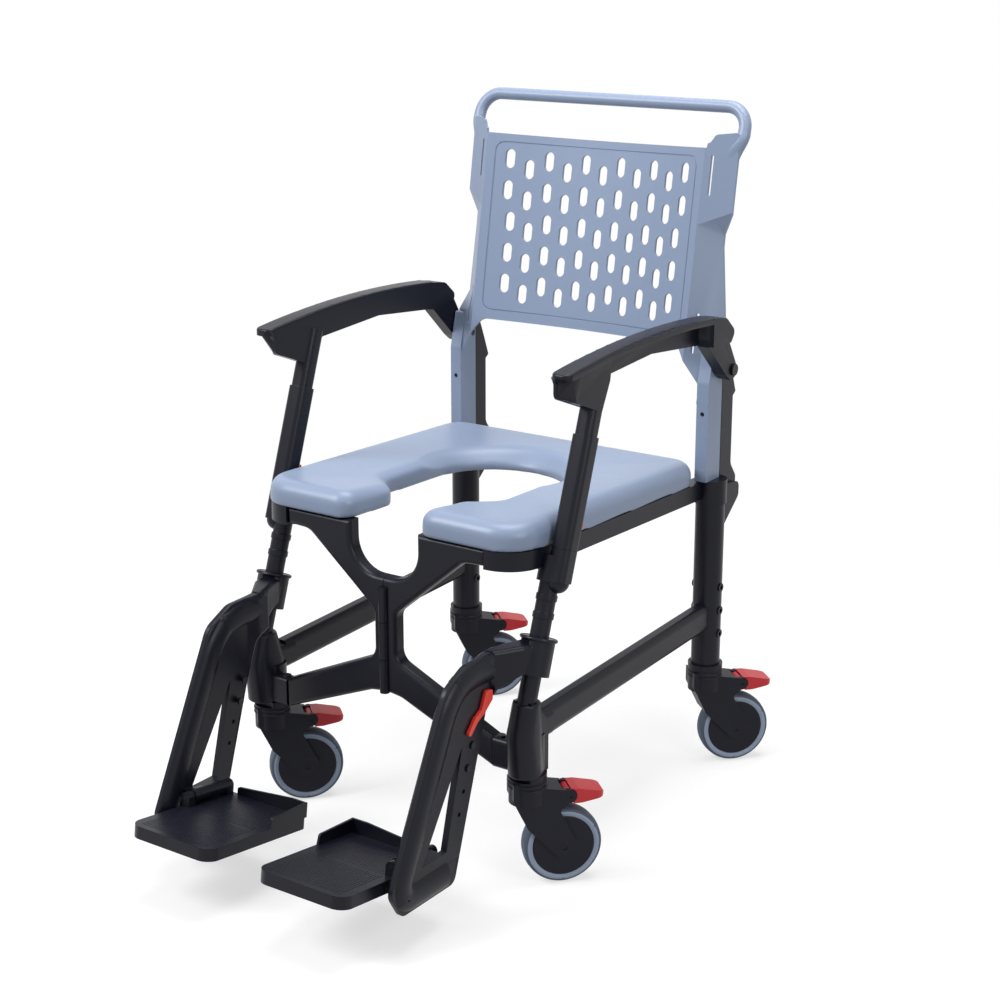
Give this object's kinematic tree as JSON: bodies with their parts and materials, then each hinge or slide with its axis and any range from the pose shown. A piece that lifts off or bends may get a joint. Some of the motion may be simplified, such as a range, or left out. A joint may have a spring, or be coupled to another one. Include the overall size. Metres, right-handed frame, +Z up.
{
  "type": "shower commode chair",
  "caption": "Wheeled shower commode chair with a horseshoe seat, slotted backrest with push handle, flip-up armrests, swing-away footrests and braked swivel casters.",
  "frame": {"origin": "on the floor, midway between the four caster stems", "axes": "+Z up, -Y the way the seated user faces, +X the viewer's right seen from the front"},
  "size_m": [0.6472, 1.037, 1.1434],
  "materials": {
    "black_plastic": "satin",
    "hub_plastic": "satin",
    "grey_plastic": "satin",
    "red_plastic": "gloss",
    "grey_tyre": "matte",
    "steel": "brushed"
  },
  "bodies": {
    "frame": {"armrest_pivots": "steel", "back_post_left": "black_plastic", "back_post_pins": "steel", "back_post_right": "black_plastic", "back_screws": "steel", "backrest": "grey_plastic", "front_foot_left": "black_plastic", "front_foot_right": "black_plastic", "front_hinge_pin": "steel", "front_leg_left": "black_plastic", "front_leg_right": "black_plastic", "front_panel_left": "black_plastic", "front_panel_right": "black_plastic", "lower_rail_left": "black_plastic", "lower_rail_right": "black_plastic", "rear_leg_left": "black_plastic", "rear_leg_right": "black_plastic", "seat_rail_left": "black_plastic", "seat_rail_right": "black_plastic"},
    "seat": {"seat": "grey_plastic"},
    "caster_front_left": {"caster_fork_front_left": "black_plastic", "wheel_axle_front_left": "steel"},
    "wheel_front_left": {"wheel_hub_front_left": "hub_plastic", "tyre_front_left": "grey_tyre"},
    "pedal_front_left": {"brake_pedal_front_left": "red_plastic"},
    "caster_front_right": {"caster_fork_front_right": "black_plastic", "wheel_axle_front_right": "steel"},
    "wheel_front_right": {"wheel_hub_front_right": "hub_plastic", "tyre_front_right": "grey_tyre"},
    "pedal_front_right": {"brake_pedal_front_right": "red_plastic"},
    "caster_rear_left": {"caster_fork_rear_left": "black_plastic", "wheel_axle_rear_left": "steel"},
    "wheel_rear_left": {"wheel_hub_rear_left": "hub_plastic", "tyre_rear_left": "grey_tyre"},
    "pedal_rear_left": {"brake_pedal_rear_left": "red_plastic"},
    "caster_rear_right": {"caster_fork_rear_right": "black_plastic", "wheel_axle_rear_right": "steel"},
    "wheel_rear_right": {"wheel_hub_rear_right": "hub_plastic", "tyre_rear_right": "grey_tyre"},
    "pedal_rear_right": {"brake_pedal_rear_right": "red_plastic"},
    "armrest_left": {"armrest_left": "black_plastic", "armrest_post_left": "black_plastic"},
    "armrest_button_left": {"armrest_release_left": "red_plastic"},
    "hanger_left": {"hanger_left": "black_plastic", "footrest_loop_left": "black_plastic", "footrest_bolts_left": "steel", "footplate_rod_left": "steel"},
    "hanger_lever_left": {"hanger_release_left": "red_plastic"},
    "footplate_left": {"footplate_left": "black_plastic"},
    "armrest_right": {"armrest_right": "black_plastic", "armrest_post_right": "black_plastic"},
    "armrest_button_right": {"armrest_release_right": "red_plastic"},
    "hanger_right": {"hanger_right": "black_plastic", "footrest_loop_right": "black_plastic", "footrest_bolts_right": "steel", "footplate_rod_right": "steel"},
    "hanger_lever_right": {"hanger_release_right": "red_plastic"},
    "footplate_right": {"footplate_right": "black_plastic"}
  },
  "joints": [
    {"name": "caster_swivel_front_left", "type": "hinge", "parent": "frame", "child": "caster_front_left", "pos_m": [-0.257, -0.277, 0.178], "axis": [0, 0, 1], "continuous": true},
    {"name": "wheel_spin_front_left", "type": "hinge", "parent": "caster_front_left", "child": "wheel_front_left", "pos_m": [-0.22087, -0.23687, 0.0625], "axis": [0.7431, -0.6691, 0], "continuous": true},
    {"name": "brake_pedal_tip_front_left", "type": "hinge", "parent": "caster_front_left", "child": "pedal_front_left", "pos_m": [-0.21551, -0.23092, 0.1476], "axis": [-0.7431, 0.6691, 0], "range_deg": [0, 12]},
    {"name": "caster_swivel_front_right", "type": "hinge", "parent": "frame", "child": "caster_front_right", "pos_m": [0.257, -0.277, 0.178], "axis": [0, 0, 1], "continuous": true},
    {"name": "wheel_spin_front_right", "type": "hinge", "parent": "caster_front_right", "child": "wheel_front_right", "pos_m": [0.29313, -0.23687, 0.0625], "axis": [0.7431, -0.6691, 0], "continuous": true},
    {"name": "brake_pedal_tip_front_right", "type": "hinge", "parent": "caster_front_right", "child": "pedal_front_right", "pos_m": [0.29849, -0.23092, 0.1476], "axis": [-0.7431, 0.6691, 0], "range_deg": [0, 12]},
    {"name": "caster_swivel_rear_left", "type": "hinge", "parent": "frame", "child": "caster_rear_left", "pos_m": [-0.257, 0.277, 0.178], "axis": [0, 0, 1], "continuous": true},
    {"name": "wheel_spin_rear_left", "type": "hinge", "parent": "caster_rear_left", "child": "wheel_rear_left", "pos_m": [-0.22087, 0.31713, 0.0625], "axis": [0.7431, -0.6691, 0], "continuous": true},
    {"name": "brake_pedal_tip_rear_left", "type": "hinge", "parent": "caster_rear_left", "child": "pedal_rear_left", "pos_m": [-0.21551, 0.32308, 0.1476], "axis": [-0.7431, 0.6691, 0], "range_deg": [0, 12]},
    {"name": "caster_swivel_rear_right", "type": "hinge", "parent": "frame", "child": "caster_rear_right", "pos_m": [0.257, 0.277, 0.178], "axis": [0, 0, 1], "continuous": true},
    {"name": "wheel_spin_rear_right", "type": "hinge", "parent": "caster_rear_right", "child": "wheel_rear_right", "pos_m": [0.29313, 0.31713, 0.0625], "axis": [0.7431, -0.6691, 0], "continuous": true},
    {"name": "brake_pedal_tip_rear_right", "type": "hinge", "parent": "caster_rear_right", "child": "pedal_rear_right", "pos_m": [0.29849, 0.32308, 0.1476], "axis": [-0.7431, 0.6691, 0], "range_deg": [0, 12]},
    {"name": "armrest_flip_left", "type": "hinge", "parent": "frame", "child": "armrest_left", "pos_m": [-0.278, 0.283, 0.711], "axis": [-1, 0, 0], "range_deg": [0, 72]},
    {"name": "armrest_button_press_left", "type": "slide", "parent": "armrest_left", "child": "armrest_button_left", "axis": [0, -1, 0], "range_m": [0, 0.003], "stiffness_N_per_m": 400},
    {"name": "hanger_swing_left", "type": "hinge", "parent": "frame", "child": "hanger_left", "pos_m": [-0.262, -0.226, 0.482], "axis": [0, -0.3256, -0.9455], "range_deg": [0, 80]},
    {"name": "hanger_lever_lift_left", "type": "hinge", "parent": "hanger_left", "child": "hanger_lever_left", "pos_m": [-0.243, -0.35, 0.33], "axis": [-1, 0, 0], "range_deg": [0, 20]},
    {"name": "footplate_fold_left", "type": "hinge", "parent": "hanger_left", "child": "footplate_left", "pos_m": [-0.202, -0.496, 0.11473], "axis": [0, -0.9903, 0.1392], "range_deg": [0, 90]},
    {"name": "armrest_flip_right", "type": "hinge", "parent": "frame", "child": "armrest_right", "pos_m": [0.278, 0.283, 0.711], "axis": [-1, 0, 0], "range_deg": [0, 72]},
    {"name": "armrest_button_press_right", "type": "slide", "parent": "armrest_right", "child": "armrest_button_right", "axis": [0, -1, 0], "range_m": [0, 0.003], "stiffness_N_per_m": 400},
    {"name": "hanger_swing_right", "type": "hinge", "parent": "frame", "child": "hanger_right", "pos_m": [0.262, -0.226, 0.482], "axis": [0, 0.3256, 0.9455], "range_deg": [0, 80]},
    {"name": "hanger_lever_lift_right", "type": "hinge", "parent": "hanger_right", "child": "hanger_lever_right", "pos_m": [0.243, -0.35, 0.33], "axis": [-1, 0, 0], "range_deg": [0, 20]},
    {"name": "footplate_fold_right", "type": "hinge", "parent": "hanger_right", "child": "footplate_right", "pos_m": [0.202, -0.496, 0.11473], "axis": [0, 0.9903, -0.1392], "range_deg": [0, 90]},
    {"name": "seat_lift_off", "type": "slide", "parent": "frame", "child": "seat", "axis": [0, 0, 1], "range_m": [0, 0.12]}
  ]
}
